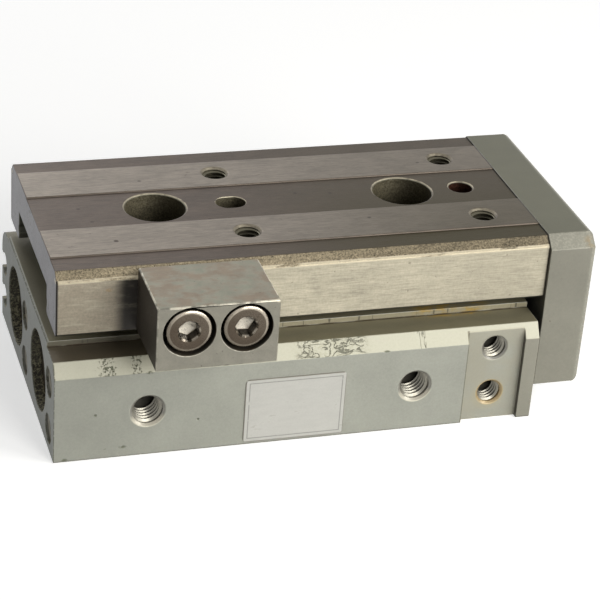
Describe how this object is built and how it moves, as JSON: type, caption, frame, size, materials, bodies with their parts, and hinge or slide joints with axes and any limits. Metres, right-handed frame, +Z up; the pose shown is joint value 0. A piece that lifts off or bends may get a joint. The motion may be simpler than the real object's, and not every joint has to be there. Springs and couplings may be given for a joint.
{
  "type": "pneumatic slide table",
  "caption": "Compact twin-cylinder pneumatic slide table: a steel table on a ball guide, joined by an end plate to two piston rods, slides along an aluminium body.",
  "frame": {"origin": "middle of the body's flat base, on the plane midway between the two bores and halfway along the body", "axes": "+X along the stroke, towards the end plate; +Y towards the side with the switch slots, away from the air ports; +Z up, from the base to the table's top"},
  "size_m": [0.0898, 0.0583, 0.0315],
  "materials": {
    "body_anodised": "satin, grey hard anodised, lightly worn",
    "end_plate_anodised": "satin, grey hard anodised",
    "stopper_steel": "satin, nickel plated",
    "table_steel": "ground and brushed stainless steel",
    "guide_steel": "ground",
    "screw_steel": "nickel plated",
    "guide_plastic": "matte",
    "rubber": "matte",
    "ball_steel": "polished",
    "ring_steel": "phosphated spring steel",
    "magnet": "matte, plastic bonded",
    "fitting_aluminium": "machined",
    "rod_chrome": "hard chromed",
    "bush_steel": "machined",
    "label_foil": "satin foil, blank"
  },
  "bodies": {
    "base": {"body": "body_anodised", "guide_block": "guide_steel", "guide_block_screws": "screw_steel", "guide_balls_near": "ball_steel", "guide_balls_far": "ball_steel", "ball_turn_rear": "guide_plastic", "ball_turn_front": "guide_plastic", "scraper_rear": "rubber", "scraper_front": "rubber", "head_cap_near": "fitting_aluminium", "head_cap_seal_near": "rubber", "rear_bumper_near": "rubber", "rear_ring_near": "ring_steel", "rod_cover_near": "fitting_aluminium", "rod_cover_seal_near": "rubber", "rod_packing_near": "rubber", "front_ring_near": "ring_steel", "front_bumper_near": "rubber", "head_cap_far": "fitting_aluminium", "head_cap_seal_far": "rubber", "rear_bumper_far": "rubber", "rear_ring_far": "ring_steel", "rod_cover_far": "fitting_aluminium", "rod_cover_seal_far": "rubber", "rod_packing_far": "rubber", "front_ring_far": "ring_steel", "front_bumper_far": "rubber", "name_label": "label_foil"},
    "table": {"table": "table_steel", "end_plate": "end_plate_anodised", "end_plate_screws": "screw_steel", "stopper_block": "stopper_steel", "stopper_screws": "screw_steel", "piston_near": "fitting_aluminium", "piston_seal_near": "rubber", "magnet_near": "magnet", "piston_rod_near": "rod_chrome", "floating_bush_near": "bush_steel", "rod_bolt_near": "screw_steel", "piston_far": "fitting_aluminium", "piston_seal_far": "rubber", "magnet_far": "magnet", "piston_rod_far": "rod_chrome", "floating_bush_far": "bush_steel", "rod_bolt_far": "screw_steel"}
  },
  "joints": [
    {"name": "table_slide", "type": "slide", "parent": "base", "child": "table", "axis": [1, 0, 0], "range_m": [0, 0.03]}
  ]
}
